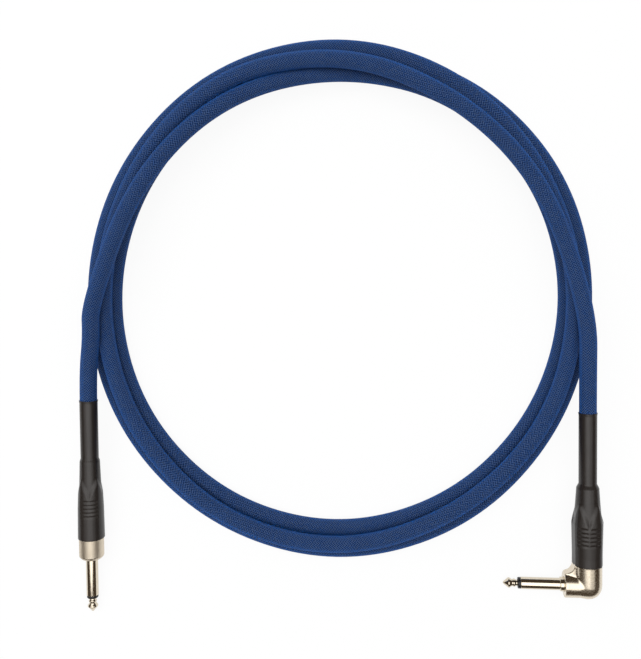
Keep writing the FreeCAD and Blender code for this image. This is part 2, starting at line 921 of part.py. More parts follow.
# How high the cable's centre lies above the lowest turn's, and its climb per mm of cable.
COIL_UP = (
    (18.05, 1.05, 0.0, 0.0),
    (0.0, 0.0, 0.0, 0.0),
    (0.0, 10.05, 9.55, 8.55),
    (8.55, 14.05, 16.05),
)
COIL_CLIMB = (
    (-0.02, -0.01, 0.0, 0.0),
    (0.0, 0.0, 0.0, 0.0),
    (0.0, 0.01, 0.0, 0.01),
    (-0.02, 0.0, -0.13),
)


def coil_stations():
    """Where each quarter of the coil starts, and which way the cable runs there."""
    rows = zip(sum(COIL_OUT, ()), sum(COIL_DRIFT, ()), sum(COIL_UP, ()), sum(COIL_CLIMB, ()))
    stations = []
    for i, (out, drift, up, climb) in enumerate(rows):
        angle = math.radians(COIL_FROM - QUARTER * i)
        away = Vec(math.cos(angle), math.sin(angle), 0)
        onward = Vec(math.sin(angle), -math.cos(angle), 0)
        spot = COIL_CENTRE + away * out + Vec(0, 0, half("cable_od").number + up)
        stations.append((spot, unit(onward + away * drift + Vec(0, 0, climb))))
    return stations


def biarc(here, heading, there, arriving):
    """Two arcs that leave here along heading and reach there along arriving."""
    gap = there - here
    both = heading + arriving
    square = 2 * (1 - heading.dot(arriving))
    slope = 2 * gap.dot(both)
    span = gap.dot(gap)
    if square < TINY * TINY:
        reach = span / slope
    else:
        reach = (math.sqrt(slope * slope + 4 * square * span) - slope) / (2 * square)
    first = here + heading * reach
    second = there - arriving * reach
    join = (first + second) * 0.5
    one, radius_one = arc_between(here, first, join)
    two, radius_two = arc_between(join, second, there)
    return [one, two], [radius_one, radius_two]


def coil_route():
    """The coil's edges with a straight diameter at each end, and its arcs' radii."""
    stations = coil_stations()
    run = of("cable_od").number
    first, heading = stations[0]
    edges = [Part.makeLine(first - heading * run, first)]
    radii = []
    for (here, way), (there, way_there) in zip(stations, stations[1:]):
        arcs, pair = biarc(here, way, there, way_there)
        edges += arcs
        radii += pair
    last, heading = stations[-1]
    edges.append(Part.makeLine(last, last + heading * run))
    return edges, radii


def least_gap(edges, outer):
    """The least gap between a coil's turns, measured between points along its middle line."""
    points = Part.Wire(edges).discretize(Distance=GAP_STEP)
    apart = int(COIL_OUT[0][0] / GAP_STEP)
    least = math.inf
    for i, here in enumerate(points):
        for there in points[i + apart:]:
            if abs(here.x - there.x) < 2 * outer and abs(here.y - there.y) < 2 * outer:
                least = min(least, (here - there).Length)
    return least - outer


def main():
    standing = {}
    straight = plug("straight")
    tilt = math.degrees(math.atan2(
        (front_radius("straight") + of("shrink_wall") - half("ball_od")).number,
        (of("shell_len") + of("shrink_back") + of("reach") - of("ball_at")).number))
    aim = Turn(Vec(0, 0, 1), of("straight_yaw").number) * Turn(Vec(1, 0, 0), tilt - 90)
    where = {"straight": stand("straight", straight, STRAIGHT_AT, aim)}
    angle = plug("angle")
    aim = Turn(Vec(0, 0, 1), of("angle_yaw").number) * Turn(Vec(1, 0, 0), of("angle_pitch").number - 90)
    aim = aim * Turn(Vec(0, 0, 1), of("angle_roll").number)
    where["angle"] = stand("angle", angle, ANGLE_AT, aim)
    for pieces in (straight, angle):
        for thing, own in pieces.values():
            standing[thing.Label] = thing

    cable = of("cable_od").number
    edges, radii = coil_route()
    standing["cord_coil"] = piece("cord_coil", tube_along(edges, cable))
    gap = least_gap(edges, cable)
    print("coil: %.0f mm, radii %.0f to %.0f mm, least gap %.2f mm"
          % (Part.Wire(edges).Length, min(radii), max(radii), gap))
    if gap < LEAST_GAP:
        raise RuntimeError("the coil's turns come too close")
    coil_start = edges[0].valueAt(edges[0].FirstParameter)
    coil_end = edges[-1].valueAt(edges[-1].LastParameter)
    way_in = unit(edges[0].valueAt(edges[0].LastParameter) - coil_start)
    way_out = unit(coil_end - edges[-1].valueAt(edges[-1].FirstParameter))
    for kind, coil_spot, way, run, points in (
            ("straight", coil_start, -way_in, STRAIGHT_RUNS, STRAIGHT_TAIL),
            ("angle", coil_end, way_out, ANGLE_RUNS, ())):
        lip = where[kind].multVec(Vec(0, 0, of(kind + "_lip").number))
        outward = where[kind].Rotation.multVec(Vec(0, 0, 1))
        route = [lip, lip + outward * run[0], *points, coil_spot + way * run[1], coil_spot]
        radii = []
        edges = rounded_route(route, radii)
        standing["cord_tail_" + kind] = piece("cord_tail_" + kind, tube_along(edges, cable))
        print("%s tail: %.0f mm, radii %s mm"
              % (kind, Part.Wire(edges).Length, ", ".join("%.0f" % radius for radius in radii)))

    doc.recompute()
    for thing in doc.Objects:
        if "Invalid" in thing.State or "Error" in thing.State:
            raise RuntimeError("%s did not build: %s" % (thing.Label, thing.State))
    for name, thing in standing.items():
        if thing.Shape.isNull() or not thing.Shape.isValid():
            raise RuntimeError("%s has no valid shape" % name)
    os.makedirs("parts", exist_ok=True)
    for name, thing in standing.items():
        thing.Shape.exportStep("parts/%s.step" % name)
        print(name, len(thing.Shape.Solids), "%.1f mm3" % thing.Shape.Volume)
    for kind in ("straight", "angle"):
        shaft = standing[kind + "_sleeve"].Placement
        front = (of("tip_len") + of("ring_len") - of("reach")).number
        middle = shaft.multVec(Vec(0, 0, front / 2))
        heading = shaft.Rotation.multVec(Vec(0, 0, -1))
        print(kind, "shaft's middle", middle, "points", heading, "bare length %.2f" % -front)
        print(kind, "stands at", where[kind])
    box = FreeCAD.BoundBox()
    for name, thing in standing.items():
        if not name.startswith("cord_"):
            box.add(thing.Shape.optimalBoundingBox(False))
    print("plugs' box", box)


main()
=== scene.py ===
"""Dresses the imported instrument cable.

It gets a woven jacket, shrunk sleeves over its boots, satin nickel housings and polished contacts.
"""

import json
import math

import bmesh
import bpy
from mathutils import Matrix, Vector


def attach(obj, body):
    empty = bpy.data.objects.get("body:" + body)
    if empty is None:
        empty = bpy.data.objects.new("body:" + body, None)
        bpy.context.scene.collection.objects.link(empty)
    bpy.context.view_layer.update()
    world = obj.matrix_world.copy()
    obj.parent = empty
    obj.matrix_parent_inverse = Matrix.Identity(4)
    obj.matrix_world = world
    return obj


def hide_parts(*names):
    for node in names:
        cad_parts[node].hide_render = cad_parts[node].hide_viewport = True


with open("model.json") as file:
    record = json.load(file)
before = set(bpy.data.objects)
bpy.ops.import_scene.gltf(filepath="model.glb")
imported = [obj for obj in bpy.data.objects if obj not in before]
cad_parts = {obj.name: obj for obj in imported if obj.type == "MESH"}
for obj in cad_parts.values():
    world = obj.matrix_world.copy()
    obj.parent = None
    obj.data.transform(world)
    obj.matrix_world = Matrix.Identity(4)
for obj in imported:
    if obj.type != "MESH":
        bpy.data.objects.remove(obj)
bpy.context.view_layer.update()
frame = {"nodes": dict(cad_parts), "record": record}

MM = 0.001

# The camera looks straight down on the coil. Its place, and what a pixel of the floor spans,
# are in millimetres.
PHOTO_WIDTH = 641
PHOTO_HEIGHT = 659
FLOOR_PER_PIXEL = 0.547
CAMERA_AT = Vector((-10.3, 94.7, 415.0))
SENSOR = 36.0
NEAREST_SEEN = 0.01

# The cord's outer size, free and in a sleeve's grip.
CORD_WIDE = 8.9
SQUEEZED = 8.4

# The coil's control points: how far out and how high it lies every twelfth of a turn, clockwise
# from the left, and the given points between it and each sleeve.
COIL_MIDDLE = Vector((0.7, 111.0, 0.0))
TWELFTH = math.radians(30)
COIL_OUT = (
    (119.0, 119.5, 119.5, 123.0, 123.0, 121.8, 121.0, 122.0, 123.5, 123.5, 123.0),
    (122.5, 123.5, 126.0, 130.0, 133.0, 133.0, 131.0, 131.0, 133.5, 135.0, 133.5, 132.5),
    (131.5, 132.7, 134.2, 132.7, 128.5, 123.5, 123.0, 125.5, 126.5, 130.5, 130.0, 127.0),
    (125.5, 126.5, 129.5, 124.2, 116.3, 116.2),
)
COIL_UP = (
    (22.75, 17.75, 11.5, 6.75, 4.75, 4.5, 4.5, 4.5, 4.5, 4.5, 4.5),
    (4.5, 4.5, 4.5, 4.5, 4.5, 4.5, 4.5, 4.5, 4.5, 4.5, 4.5, 4.5),
    (5.75, 7.9, 10.75, 13.6, 14.75, 14.25, 13.75, 13.25, 13.0, 13.0, 13.0, 13.25),
    (13.0, 14.4, 18.6, 21.4, 23.75, 25.0),
)
COIL_FIRST = 1
STRAIGHT_TAIL = (Vector((-129.8, 91.0, 19.6)), Vector((-129.6, 108.0, 22.8)))
ANGLE_TAIL = (Vector((128.2, 105.0, 23.2)),)

# How far the cord reaches into a sleeve's lip, and how far it then runs straight out of it.
TUCKED = 2.5
LEAVES = 15.0

# How finely the cord is cut, between two control points and round it.
CORD_STEPS = 14
CORD_AROUND = 15

# Sections of the turned pieces, (radius, place along) in millimetres, as their solids have them,
# apart from a smaller chamfer at the shell's front. Along the contacts, 0 is the face that the
# shaft's 30 mm reach is counted from.
TIP_SECTION = ((0.0, -30.0), (0.42, -30.0), (2.75, -27.15), (2.75, -26.65), (1.75, -25.1), (2.25, -24.0),
               (1.65, -23.1), (1.65, -22.2), (1.15, -22.2), (1.15, -14.0), (0.0, -14.0))
RING_SECTION = ((1.15, -22.2), (2.7, -22.2), (3.0, -21.9), (3.0, -20.6), (1.15, -20.6))
STRAIGHT_SHAFT_SECTION = ((2.2, -20.6), (3.175, -20.6), (3.175, 0.0), (3.5, 0.0), (3.5, 1.5), (4.6, 1.5),
                          (4.6, 2.7), (3.6, 2.7), (3.6, 6.7), (2.2, 6.7))
ANGLE_SHAFT_SECTION = ((2.2, -20.6), (3.175, -20.6), (3.175, 0.0), (3.8, 0.0), (3.8, 3.5), (4.6, 3.5),
                       (4.6, 4.7), (3.6, 4.7), (3.6, 8.7), (2.2, 8.7))
SHELL_SECTION = ((3.6, 0.0), (4.9, 0.0), (5.3, 0.2), (6.25, 1.15), (6.5, 1.8), (6.5, 12.5), (5.55, 12.5),
                 (5.55, 19.5), (5.2, 19.5), (5.2, 1.5), (3.6, 1.5))
NUT_SECTION = ((3.9, 2.0), (5.9, 2.0), (5.9, 3.5), (3.9, 3.5))

# Where each plug lies, with its angles in degrees, and how far in front of the elbow's middle
# its shaft's 0 is.
STRAIGHT_AT = Vector((-133.45, -28.2, 6.193))
STRAIGHT_YAW = -0.65
STRAIGHT_TILT = 6.18
ANGLE_AT = Vector((132.7, -42.0, 8.607))
ANGLE_YAW = 1.8
ANGLE_PITCH = 5.5
ANGLE_ROLL = -8.2
NOSE_OUT = 14.3


def turned_by(degrees, axis):
    return Matrix.Rotation(math.radians(degrees), 4, axis)


def placed(at):
    return Matrix.Translation(at)


STRAIGHT = placed(STRAIGHT_AT) @ turned_by(STRAIGHT_YAW, "Z") @ turned_by(STRAIGHT_TILT - 90, "X")
ANGLE = (placed(ANGLE_AT) @ turned_by(ANGLE_YAW, "Z") @ turned_by(ANGLE_PITCH - 90, "X")
         @ turned_by(ANGLE_ROLL, "Z"))

# Lays a shaft's own axis along the elbow's nose.
INWARD = Matrix(((0, 0, 1, 0), (0, -1, 0, 0), (1, 0, 0, 0), (0, 0, 0, 1)))
ANGLE_SHAFT = ANGLE @ placed(Vector((-NOSE_OUT, 0, 0))) @ INWARD

# Each strain relief's form, in millimetres along its plug and out from its axis. The boot runs
# from start to rear, and its sleeve from mouth to lip. Front, waist, apex and vee are the boot's
# radii on the way back. Notches between its four tongues open from apex to vee, and show a core
# that ends in a collar. Ribs are pressed across two sides, and the other two are a little flat.
SLEEVES = {
    "straight": {
        "frame": STRAIGHT, "phase": 8.0, "start": 12.5, "mouth": 11.6, "lip": 86.2, "rear": 54.5,
        "front": 6.6, "waist": 6.35, "waist_at": 28.1, "apex": 6.05, "apex_at": 35.1,
        "vee": 5.65, "vee_at": 44.3, "core_apex": 5.45, "core_vee": 5.05, "collar": 4.75,
        "collar_long": 1.0, "rib_top": 32.8, "rib_pitch": 2.05, "rib_deep": 0.22,
        "rib_long": 8.6, "rib_gap": 0.0, "ridge": 0.1, "flat": 0.2, "least": 6.1, "spread": 0.75,
        "bore": ((12.5, 5.65), (19.5, 5.65), (19.7, 5.1), (22.1, 5.1), (33.1, 4.3), (54.5, 3.6)),
    },
    "angle": {
        "frame": ANGLE, "phase": -4.0, "start": 12.4, "mouth": 11.7, "lip": 93.6, "rear": 55.0,
        "front": 7.6, "waist": 7.55, "waist_at": 16.4, "apex": 7.85, "apex_at": 34.2,
        "vee": 6.35, "vee_at": 44.6, "core_apex": 6.85, "core_vee": 5.95, "collar": 5.35,
        "collar_long": 1.6, "rib_top": 32.7, "rib_pitch": 2.2, "rib_deep": 0.3,
        "rib_long": 11.6, "rib_gap": 1.3, "ridge": 0.2, "flat": 1.0, "least": 7.2, "spread": 0.64,
        "bore": ((12.4, 6.2), (19.4, 6.2), (19.6, 5.6), (22.0, 5.6), (34.5, 4.5), (55.0, 3.6)),
    },
}
SKIN = 0.45
RIBS = 5
RIB_WIDE = 0.9


class Wire:
    """An output in a node tree, so that sums on it are written as plain Python."""

    def __init__(self, tree, out):
        self.tree = tree
        self.out = out

    def beside(self, name):
        """Another output of the same node."""
        return Wire(self.tree, self.out.node.outputs[name])

    def sum(self, operation, *others, clamp=False):
        settings = {"operation": operation, "use_clamp": clamp}
        inputs = dict(enumerate((self,) + others))
        return self.tree.node("ShaderNodeMath", settings, inputs)

    def __add__(self, other):
        return self.sum("ADD", other)

    def __sub__(self, other):
        return self.sum("SUBTRACT", other)

    def __rsub__(self, other):
        return self.tree.node("ShaderNodeMath", {"operation": "SUBTRACT"}, {0: other, 1: self})

    def __mul__(self, other):
        return self.sum("MULTIPLY", other)

    def __truediv__(self, other):
        return self.sum("DIVIDE", other)

    def __mod__(self, other):
        return self.sum("FLOORED_MODULO", other)

    def __gt__(self, other):
        return self.sum("GREATER_THAN", other)

    __radd__ = __add__
    __rmul__ = __mul__

    def below(self):
        return self.sum("FLOOR")

    def part(self):
        return self.sum("FRACT")

    def wave(self):
        return self.sum("SINE")

    def size(self):
        return self.sum("ABSOLUTE")

    def clamped(self):
        return self.sum("ADD", 0.0, clamp=True)


class Tree:
    """The nodes of a material or of the world."""

    def __init__(self, owner):
        owner.use_nodes = True
        self.nodes = owner.node_tree.nodes
        self.links = owner.node_tree.links

    def node(self, kind, settings=None, inputs=None, output=0):
        """Adds a node: its settings are set first, then the values or links of its sockets."""
        made = self.nodes.new(kind)
        for word, amount in (settings or {}).items():
            setattr(made, word, amount)
        for socket, amount in (inputs or {}).items():
            if isinstance(amount, Wire):
                self.links.new(amount.out, made.inputs[socket])
            else:
                made.inputs[socket].default_value = amount
        return Wire(self, made.outputs[output])

    def blend(self, share, low, high):
        """A colour between two others."""
        return self.node("ShaderNodeMix", {"data_type": "RGBA"}, {0: share, 6: low, 7: high}, 2)


NOISE_ROUGH = 0.55


class Finish(Tree):
    """A material on a Principled shader, whose steady values are set on the shader itself."""

    def __init__(self, name, **steady):
        self.material = bpy.data.materials.new(name)
        super().__init__(self.material)
        self.shader = self.nodes["Principled BSDF"]
        for word, amount in steady.items():
            socket = word.replace("_", " ").title().replace("Ior", "IOR")
            self.shader.inputs[socket].default_value = amount

    def place(self, frame_matrix=None, stretch=(1, 1, 1)):
        """Object coordinates, turned into a piece's own frame where it has one."""
        spot = self.node("ShaderNodeTexCoord", output="Object")
        if frame_matrix is not None:
            turn = frame_matrix.to_3x3().inverted().to_euler()
            spot = self.node("ShaderNodeMapping", {}, {"Vector": spot, "Rotation": turn})
        return self.node("ShaderNodeMapping", {}, {"Vector": spot, "Scale": stretch})

    def noise(self, spot, scale, detail=3.0):
        """Soft spots, from 0 to 1, whose scale counts them over a metre."""
        return self.node("ShaderNodeTexNoise", {}, {"Vector": spot, "Scale": scale, "Detail": detail,
                                                    "Roughness": NOISE_ROUGH})

    def feed(self, word, wire):
        """Links what changes over the surface to one of the shader's sockets."""
        self.links.new(wire.out, self.shader.inputs[word])

    def bump(self, height, deep, strength):
        """Raises the surface by height times a depth in millimetres."""
        return self.node("ShaderNodeBump", {}, {"Height": height, "Distance": deep * MM,
                                                "Strength": strength})


def rgba(red, green, blue):
    """A colour as a screen shows it, from 0 to 255 each, in the shader's linear numbers."""
    def linear(share):
        share /= 255
        return share / 12.92 if share <= 0.04045 else ((share + 0.055) / 1.055) ** 2.4
    return (linear(red), linear(green), linear(blue), 1.0)


# The braid: the yarns round it that run each way, the length along it from one to the next,
# the yarns that one passes before it is over the same way again, and a start that keeps the
# count of yarns above 0 along the whole cord.
YARNS = 24
YARN_ALONG = 1.42
REPEAT = 4
COUNT_FROM = 5000.0

# A yarn's filaments, how deep the dips between them are as a share of its height, and the heights,
# from 0 to 1, below which a gap shows the darker yarns beneath with painted shade over them, and
# above which a crest takes a painted highlight.
FILAMENTS = 3
FILAMENT_DIP = 0.35
GAP_BELOW = 0.25
HIGHLIGHT_ABOVE = 0.55
FALLS_OFF = 2.4


def woven_jacket():
    """Two sets of yarns wound opposite ways, each over two and under two, with painted shade in the gaps
    between and a painted highlight on their crests.
    """
    finish = Finish("woven_jacket", specular_ior_level=0.08, sheen_weight=0.9, sheen_roughness=0.28,
                    sheen_tint=rgba(0, 104, 205))
    lie = finish.node("ShaderNodeUVMap", {"uv_map": "weave"})
    split = finish.node("ShaderNodeSeparateXYZ", {}, {0: lie})
    along = split
    around = split.beside("Y")
    right = around * YARNS + along / YARN_ALONG
    left = around * YARNS - along / YARN_ALONG + COUNT_FROM
    over = ((right.below() + left.below()) % REPEAT) > (REPEAT - 1) / 2

    def yarn_back(across):
        """A yarn's round back, cut into filaments."""
        strands = (across * (math.pi * FILAMENTS)).wave().size()
        return (across * math.pi).wave() * (strands * FILAMENT_DIP + (1 - FILAMENT_DIP))

    height = over * yarn_back(right.part()) + (1 - over) * yarn_back(left.part())
    spot = finish.place()
    patches = finish.noise(spot, 90.0)
    threads = finish.noise(spot, 1400.0, detail=1.0)
    # Painted shade: below the gap height the colour darkens to near black, over the darker yarns beneath.
    gap_and_shade = (1 - (height - GAP_BELOW) * FALLS_OFF).clamped()
    # Painted highlight: the crests, broken by a fine noise, are lightened towards a pale grey-blue.
    crest_highlight = ((height - HIGHLIGHT_ABOVE) * FALLS_OFF + (threads - 0.5) * 1.5).clamped()
    body = finish.blend(patches, rgba(10, 54, 114), rgba(20, 68, 134))
    lit = finish.blend(crest_highlight * 0.8, body, rgba(84, 98, 118))
    finish.feed("Base Color", finish.blend(gap_and_shade, lit, rgba(6, 12, 26)))
    finish.feed("Roughness", gap_and_shade * 0.25 + 0.5)
    finish.feed("Normal", finish.bump(height, 0.3, 0.9))
    return finish.material


DRAWN_ALONG = (1.0, 1.0, 0.12)
DRAWN_ROUND = (0.08, 0.08, 1.0)


def shrunk_sleeve(name, frame_matrix):
    """Charcoal shrunk sleeve: a soft sheen, with a fine grain drawn out along it."""
    finish = Finish(name, specular_ior_level=0.48)
    drawn = finish.place(frame_matrix, DRAWN_ALONG)
    grain = finish.noise(drawn, 900.0)
    cloudy = finish.noise(finish.place(), 120.0)
    finish.feed("Base Color", finish.blend(cloudy, rgba(29, 25, 23), rgba(39, 34, 31)))
    finish.feed("Roughness", grain * 0.16 + 0.24)
    finish.feed("Normal", finish.bump(grain, 0.05, 0.5))
    return finish.material


def satin_nickel(name, frame_matrix, rough, deep):
    """Plated housing with fine marks round its axis, whose depth is in millimetres."""
    finish = Finish(name, metallic=1.0)
    lathed = finish.place(frame_matrix, DRAWN_ROUND)
    marks = finish.noise(lathed, 2600.0, detail=2.0)
    stains = finish.noise(finish.place(), 160.0)
    finish.feed("Base Color", finish.blend(stains, rgba(212, 199, 177), rgba(232, 221, 203)))
    finish.feed("Roughness", marks * 0.14 + stains * 0.08 + rough)
    finish.feed("Normal", finish.bump(marks, deep, 0.5))
    return finish.material


def polished_nickel():
    """Contacts, bright with a few rubbed marks."""
    finish = Finish("polished_nickel", metallic=1.0)
    rubbed = finish.noise(finish.place(), 700.0)
    finish.feed("Base Color", finish.blend(rubbed, rgba(206, 194, 172), rgba(226, 216, 198)))
    finish.feed("Roughness", rubbed * 0.1 + 0.06)
    finish.feed("Normal", finish.bump(rubbed, 0.004, 0.4))
    return finish.material


def plain(name, dark, light, rough, grain=500.0, deep=0.02, **steady):
    """A moulded, cast or drawn piece: two near colours, uneven gloss and a fine grain."""
    finish = Finish(name, **steady)
    spots = finish.noise(finish.place(), grain)
    finish.feed("Base Color", finish.blend(spots, rgba(*dark), rgba(*light)))
    finish.feed("Roughness", spots * 0.15 + rough)
    finish.feed("Normal", finish.bump(spots, deep, 0.5))
    return finish.material


WOVEN = woven_jacket()
SLEEVE_SKIN = {"straight": shrunk_sleeve("sleeve_skin_straight", STRAIGHT),
               "angle": shrunk_sleeve("sleeve_skin_angle", ANGLE)}
SHELL_NICKEL = satin_nickel("shell_nickel", STRAIGHT, 0.34, 0.03)
ELBOW_NICKEL = satin_nickel("elbow_nickel", ANGLE, 0.14, 0.02)
POLISHED = polished_nickel()
SLOT_FINISHES = {
    "black_plastic": plain("black_ring", (12, 12, 13), (24, 24, 25), 0.3),
    "tinned_brass": plain("tinned_lug", (176, 170, 150), (200, 194, 176), 0.25, metallic=1.0),
    "solder": plain("solder_drop", (168, 168, 170), (196, 196, 198), 0.22, metallic=1.0),
    "boot_rubber": plain("boot_rubber", (20, 20, 21), (30, 30, 31), 0.5),
    "inner_jacket": plain("inner_jacket", (28, 28, 30), (38, 38, 40), 0.55),
    "copper": plain("copper_wrap", (176, 96, 62), (206, 126, 86), 0.3, grain=1500.0, metallic=1.0),
    "core_insulation": plain("core_insulation", (214, 212, 204), (228, 226, 220), 0.45),
    "woven_jacket": plain("woven_end", (22, 46, 104), (34, 66, 130), 0.6, grain=1200.0, deep=0.1),
    "heat_shrink": SLEEVE_SKIN["straight"],
    "satin_nickel": SHELL_NICKEL,
    "polished_nickel": POLISHED,
}


def coil_points():
    """The coil's control points, moved out so that the line between them comes to lie on the turn."""
    stand_out = 1 / math.cos(TWELFTH / 2)
    points = []
    for step, (out, up) in enumerate(zip(sum(COIL_OUT, ()), sum(COIL_UP, ())), start=COIL_FIRST):
        angle = math.pi - TWELFTH * step
        away = Vector((math.cos(angle), math.sin(angle), 0.0)) * (out * stand_out)
        points.append(COIL_MIDDLE + away + Vector((0.0, 0.0, up)))
    return points


def cord_points():
    """The whole free cord, from inside one sleeve's lip to inside the other's."""
    def off(kind, past_lip):
        sleeve = SLEEVES[kind]
        return sleeve["frame"] @ Vector((0.0, 0.0, sleeve["lip"] + past_lip))
    return [off("straight", -TUCKED), off("straight", LEAVES), *STRAIGHT_TAIL, *coil_points(), *ANGLE_TAIL,
            off("angle", LEAVES), off("angle", -TUCKED)]


new_pieces = []
replaced = set()


def finished(name, mesh, material, stands_for):
    """An object from a mesh, with its finish, riding on the cable's one body."""
    piece = bpy.data.objects.new(name, mesh)
    bpy.context.scene.collection.objects.link(piece)
    mesh.materials.clear()
    mesh.materials.append(material)
    for face in mesh.polygons:
        face.use_smooth = True
    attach(piece, "root")
    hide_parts(*stands_for)
    new_pieces.append(piece)
    replaced.update(stands_for)
    return piece


def nurbs_line(name, points):
    """A curve of one open spline, whose first and last points it reaches."""
    curve = bpy.data.curves.new(name, "CURVE")
    curve.dimensions = "3D"
    curve.resolution_u = CORD_STEPS
    spline = curve.splines.new("NURBS")
    spline.points.add(len(points) - 1)
    for knot, at in zip(spline.points, points):
        knot.co = (*(at * MM), 1.0)
    spline.order_u = 3
    spline.use_endpoint_u = True
    line = bpy.data.objects.new(name, curve)
    bpy.context.scene.collection.objects.link(line)
    return line


def mesh_of(shape):
    """The mesh that a curve, or a mesh with modifiers, comes to."""
    bpy.context.view_layer.update()
    return bpy.data.meshes.new_from_object(shape.evaluated_get(bpy.context.evaluated_depsgraph_get()))


def make_cord():
    """The free cord as one tube, whose UV map counts millimetres along it and turns round it."""
    line = nurbs_line("cord_line", cord_points())
    route = [vertex.co.copy() for vertex in mesh_of(line).vertices]
    line.data.bevel_depth = CORD_WIDE / 2 * MM
    line.data.bevel_resolution = CORD_AROUND
    line.data.use_fill_caps = False
    tube = mesh_of(line)
    bpy.data.objects.remove(line)
    gone = [0.0]
    for here, there in zip(route, route[1:]):
        gone.append(gone[-1] + (there - here).length / MM)
    sides = len(tube.vertices) // len(route)
    lie = tube.uv_layers.new(name="weave")
    for face in tube.polygons:
        corners = [(corner, *divmod(tube.loops[corner].vertex_index, sides)) for corner in face.loop_indices]
        wraps = max(side for _, _, side in corners) - min(side for _, _, side in corners) > sides / 2
        for corner, ring, side in corners:
            around = side + sides if wraps and side < sides / 2 else side
            lie.data[corner].uv = (gone[ring], around / sides)
    cord = finished("woven_cord", tube, WOVEN,
                    stands_for=("cord_coil", "cord_tail_straight", "cord_tail_angle"))
    return cord, route


cord, cord_route = make_cord()


camera_data = bpy.data.cameras.new("camera")
camera_data.sensor_width = SENSOR
camera_data.lens = SENSOR * CAMERA_AT.z / (FLOOR_PER_PIXEL * max(PHOTO_WIDTH, PHOTO_HEIGHT))
camera_data.clip_start = NEAREST_SEEN
camera = bpy.data.objects.new("camera", camera_data)
camera.location = CAMERA_AT * MM
bpy.context.scene.collection.objects.link(camera)
bpy.context.scene.camera = camera


def soft_step(low, high, at):
    """0 below low, 1 above high, and an even ease between."""
    share = min(max((at - low) / (high - low), 0.0), 1.0)
    return share * share * (3 - 2 * share)


def along_line(stops, at):
    """A value between (place, value) stops."""
    if at <= stops[0][0]:
        return stops[0][1]
    for (near, low), (far, high) in zip(stops, stops[1:]):
        if at <= far:
            return low + (high - low) * (at - near) / (far - near)
    return stops[-1][1]


# How softly the notches' edges run out, across and at their open end, and how fast the ridge
# down each tongue's middle fades, in degrees.
NOTCHES = 4
NOTCH_SOFT = 1.3
NOTCH_END_AHEAD = 0.3
NOTCH_END_AFTER = 1.3
RIDGE_FADE = 9.0

# The flat sides: the angles of their middle and of half their width, and how far along they
# take to come in.
FLAT_AT = math.radians(78)
FLAT_HALF = math.radians(21)
FLAT_EASE = 3.0

# The ribs' soft ends and sides, and how far the sleeve takes to come down on the cord.
RIB_END = 0.8
RIB_SOFT = 0.62
COMES_DOWN = 0.6

# The sleeve's lip, the boot's clearance under the sleeve, and how finely both are cut.
LIP_FLARE = 0.2
LIP_LONG = 1.5
SEATED = 0.02
SLEEVE_SIDES = 144
RING_EVERY = 0.35

# The two radii that a tube is first spun at, before its sides are drawn to their own.
OUTER = 2.0
INNER = 1.0


def sleeve_radius(sleeve, at, angle):
    """How far out the sleeve's skin lies, at a place along it and an angle round it."""
    squeezed = SQUEEZED / 2
    core = along_line((
        (sleeve["mouth"], sleeve["core_apex"]), (sleeve["apex_at"], sleeve["core_apex"]),
        (sleeve["vee_at"], sleeve["core_vee"]), (sleeve["rear"] - sleeve["collar_long"], sleeve["collar"]),
        (sleeve["rear"] + COMES_DOWN, squeezed)), at)
    tongue = along_line((
        (sleeve["mouth"], sleeve["front"]), (sleeve["waist_at"], sleeve["waist"]),
        (sleeve["apex_at"], sleeve["apex"]), (sleeve["vee_at"], sleeve["vee"])), at)
    quarter = math.tau / NOTCHES
    from_top = (angle - math.radians(sleeve["phase"] - 90) + math.pi) % math.tau - math.pi
    from_notch = (from_top + quarter / 2) % quarter - quarter / 2
    aside = abs(math.sin(from_notch)) * tongue
    open_share = (at - sleeve["apex_at"]) / (sleeve["vee_at"] - sleeve["apex_at"])
    half_open = sleeve["vee"] * sleeve["spread"] * open_share
    on_tongue = soft_step(-NOTCH_SOFT, NOTCH_SOFT, aside - half_open)
    on_tongue *= 1 - soft_step(sleeve["vee_at"] - NOTCH_END_AHEAD, sleeve["vee_at"] + NOTCH_END_AFTER, at)
    from_ridge = math.degrees(quarter / 2 - abs(from_notch))
    ridge = sleeve["ridge"] * soft_step(sleeve["waist_at"], sleeve["apex_at"], at)
    tongue += ridge * math.exp(-from_ridge / RIDGE_FADE)
    off_flat = abs(from_top) - FLAT_AT
    if abs(off_flat) < FLAT_HALF:
        flat = sleeve["flat"] * (1 - math.cos(FLAT_HALF) / math.cos(off_flat))
        shallow = 1 - sleeve["least"] / tongue
        come_in = soft_step(sleeve["start"], sleeve["start"] + FLAT_EASE, at)
        tongue *= 1 - min(flat, shallow + (flat - shallow) * come_in)
    radius = core + (tongue - core) * on_tongue
    from_rib = (from_top + quarter) % (2 * quarter) - quarter
    side = math.sin(from_rib) * tongue
    inside = 1 - soft_step(sleeve["rib_long"] / 2 - RIB_END, sleeve["rib_long"] / 2, abs(side))
    if sleeve["rib_gap"]:
        inside *= soft_step(0.0, sleeve["rib_gap"], abs(side))
    for rib in range(RIBS):
        middle = sleeve["rib_top"] - sleeve["rib_pitch"] * rib
        dip = math.exp(-((at - middle) / (RIB_WIDE * RIB_SOFT)) ** 2)
        radius -= sleeve["rib_deep"] * dip * inside
    radius += LIP_FLARE * soft_step(sleeve["lip"] - LIP_LONG, sleeve["lip"], at)
    return radius + SKIN


